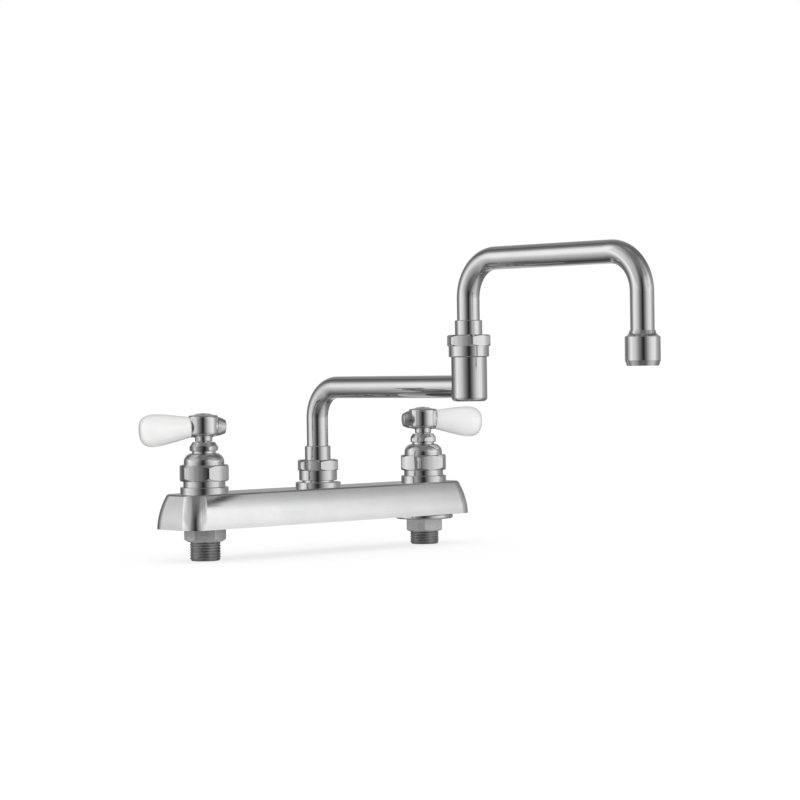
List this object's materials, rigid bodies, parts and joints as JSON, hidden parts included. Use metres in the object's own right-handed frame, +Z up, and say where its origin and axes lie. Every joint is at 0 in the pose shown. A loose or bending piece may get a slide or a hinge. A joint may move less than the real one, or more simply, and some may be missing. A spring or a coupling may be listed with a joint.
{
  "type": "double-jointed deck faucet",
  "caption": "Deck-mount faucet with hot and cold lever valves and a jointed swing spout ending in an aerator.",
  "frame": {"origin": "on the deck plane, midway between the two inlet shanks", "axes": "+Z up, +X towards the cold valve, -Y towards the user, the way the spout points"},
  "size_m": [0.2836, 0.344, 0.2058],
  "materials": {
    "chrome": "polished chrome plate",
    "dull_plate": "thin satin plating over turned brass",
    "brass": "turned brass",
    "rubber": "black moulded rubber",
    "fibre": "pressed fibre",
    "packing": "matt fluoropolymer",
    "white_grip": "glossy white, glazed",
    "white_plastic": "moulded plastic",
    "stainless": "woven wire"
  },
  "bodies": {
    "root": {"base_swivel_nut": "chrome", "cold_bonnet": "chrome", "cold_bonnet_gasket": "fibre", "cold_inlet_shank": "dull_plate", "cold_lock_nut": "dull_plate", "cold_mounting_washer": "chrome", "cold_packing_gland": "brass", "cold_packing_nut": "chrome", "cold_packing_ring": "packing", "cold_valve_seat": "brass", "faucet_body": "chrome", "hot_bonnet": "chrome", "hot_bonnet_gasket": "fibre", "hot_inlet_shank": "dull_plate", "hot_lock_nut": "dull_plate", "hot_packing_gland": "brass", "hot_packing_nut": "chrome", "hot_packing_ring": "packing", "hot_valve_seat": "brass"},
    "hot_seat_carrier": {"hot_seat_disc": "brass", "hot_seat_screw": "brass", "hot_seat_washer": "rubber"},
    "hot_handle": {"hot_grip": "white_grip", "hot_handle_hub": "chrome", "hot_handle_screw": "brass", "hot_index_button": "chrome", "hot_lever_rod": "brass", "hot_stem": "brass", "hot_stub_cap": "chrome"},
    "cold_seat_carrier": {"cold_seat_disc": "brass", "cold_seat_screw": "brass", "cold_seat_washer": "rubber"},
    "cold_handle": {"cold_grip": "white_grip", "cold_handle_hub": "chrome", "cold_handle_screw": "brass", "cold_index_button": "chrome", "cold_lever_rod": "brass", "cold_stem": "brass", "cold_stub_cap": "chrome"},
    "lower_spout": {"base_o_rings": "rubber", "base_retaining_ring": "brass", "base_sleeve": "chrome", "joint_barrel": "chrome", "joint_swivel_nut": "chrome", "lower_spout_tube": "chrome"},
    "upper_spout": {"aerator_gasket": "rubber", "aerator_housing": "chrome", "aerator_insert": "white_plastic", "aerator_screen": "stainless", "joint_o_rings": "rubber", "joint_retaining_ring": "brass", "joint_sleeve": "chrome", "outlet_adapter": "chrome", "upper_spout_tube": "chrome"}
  },
  "joints": [
    {"name": "hot_stem_lift", "type": "slide", "parent": "root", "child": "hot_seat_carrier", "axis": [0, 0, 1], "range_m": [0, 0.003]},
    {"name": "hot_handle_turn", "type": "hinge", "parent": "hot_seat_carrier", "child": "hot_handle", "pos_m": [-0.1016, 0, 0.0688], "axis": [0, 0, 1], "range_deg": [0, 270]},
    {"name": "cold_stem_lift", "type": "slide", "parent": "root", "child": "cold_seat_carrier", "axis": [0, 0, 1], "range_m": [0, 0.003]},
    {"name": "cold_handle_turn", "type": "hinge", "parent": "cold_seat_carrier", "child": "cold_handle", "pos_m": [0.1016, 0, 0.0688], "axis": [0, 0, 1], "range_deg": [0, 270]},
    {"name": "lower_spout_swing", "type": "hinge", "parent": "root", "child": "lower_spout", "pos_m": [0, 0, 0.04], "axis": [0, 0, 1], "continuous": true},
    {"name": "upper_spout_swing", "type": "hinge", "parent": "lower_spout", "child": "upper_spout", "pos_m": [0, -0.1524, 0.12], "axis": [0, 0, 1], "continuous": true}
  ],
  "couplings": [
    {"joint": "hot_handle_turn", "follows": "hot_stem_lift", "rad_per_m": 1570.8},
    {"joint": "cold_handle_turn", "follows": "cold_stem_lift", "rad_per_m": 1570.8}
  ]
}
